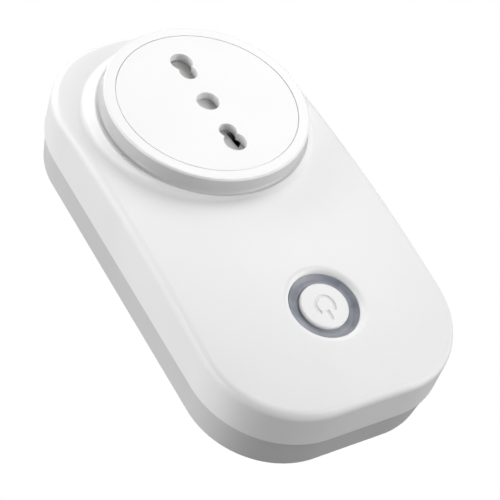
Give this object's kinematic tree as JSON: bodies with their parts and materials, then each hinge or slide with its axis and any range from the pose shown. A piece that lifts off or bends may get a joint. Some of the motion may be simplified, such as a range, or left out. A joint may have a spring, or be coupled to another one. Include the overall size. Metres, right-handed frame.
{
  "type": "smart plug",
  "caption": "White plug-through smart plug: crowned rounded case with a raised round in-line socket, a lit push button, and plug pins on the back.",
  "frame": {"origin": "on the axis of the rear earth pin, in the plane of the rear face that meets the wall socket", "axes": "+Z out of the front face (the socket and button side), +Y along the case towards the socket end, +X to the right"},
  "size_m": [0.0618, 0.1116, 0.0487],
  "materials": {
    "case_white": "satin moulded",
    "rear_white": "satin moulded, a little greyer than the front",
    "socket_white": "satin moulded",
    "button_white": "satin moulded",
    "shutter_grey": "moulded",
    "light_guide": "translucent smoky polycarbonate",
    "carrier_plastic": "moulded",
    "contact_brass": "stamped",
    "pin_nickel": "turned, lightly plated",
    "busbar_copper": "stamped",
    "screw_steel": "zinc plated",
    "spring_steel": "drawn wire",
    "sleeve_black": "moulded",
    "black_plastic": "moulded",
    "circuit_board": "solder mask",
    "module_shield": "tinned sheet",
    "led_lens": "clear resin",
    "relay_case": "moulded",
    "film_yellow": "moulded box",
    "varistor_coat": "dipped coating",
    "capacitor_can": "sleeved can",
    "ferrite": "sintered ferrite",
    "winding_tape": "tape wrap"
  },
  "bodies": {
    "case": {"front_cover": "case_white", "rear_cover": "rear_white", "socket_ring": "socket_white", "socket_insert": "socket_white", "contact_carrier": "carrier_plastic", "carrier_screws": "screw_steel", "case_screws": "screw_steel", "board_screws": "screw_steel", "shutter_spring": "spring_steel", "line_contact": "contact_brass", "neutral_contact": "contact_brass", "earth_contact": "contact_brass", "plug_insert": "case_white", "line_pin": "pin_nickel", "neutral_pin": "pin_nickel", "earth_pin": "pin_nickel", "pin_sleeves": "sleeve_black", "neutral_busbar": "busbar_copper", "line_input_busbar": "busbar_copper", "line_output_busbar": "busbar_copper", "earth_strap": "busbar_copper", "light_ring": "light_guide", "tact_switch_body": "black_plastic", "control_board": "circuit_board", "main_board": "circuit_board", "wifi_module": "module_shield", "status_leds": "led_lens", "board_header": "black_plastic", "relay": "relay_case", "fuse": "black_plastic", "film_capacitor": "film_yellow", "varistor": "varistor_coat", "bulk_capacitors": "capacitor_can", "output_capacitor": "capacitor_can", "transformer_core": "ferrite", "transformer_winding": "winding_tape", "inductor": "ferrite", "bridge_rectifier": "black_plastic", "controller_chip": "black_plastic"},
    "button": {"power_button": "button_white"},
    "plunger": {"tact_switch_plunger": "black_plastic"},
    "shutter": {"safety_shutter": "shutter_grey"}
  },
  "joints": [
    {"name": "button_press", "type": "slide", "parent": "case", "child": "button", "axis": [0, 0.1219, -0.9925], "range_m": [0, 0.0005], "stiffness_N_per_m": 600, "springref_m": -0.0003},
    {"name": "plunger_press", "type": "slide", "parent": "case", "child": "plunger", "axis": [0, 0, -1], "range_m": [0, 0.0005]},
    {"name": "shutter_slide", "type": "slide", "parent": "case", "child": "shutter", "axis": [1, 0, 0], "range_m": [0, 0.0059], "stiffness_N_per_m": 60, "springref_m": -0.004, "deforming": ["shutter_spring"]}
  ],
  "couplings": [
    {"joint": "plunger_press", "follows": "button_press", "ratio": 1}
  ]
}
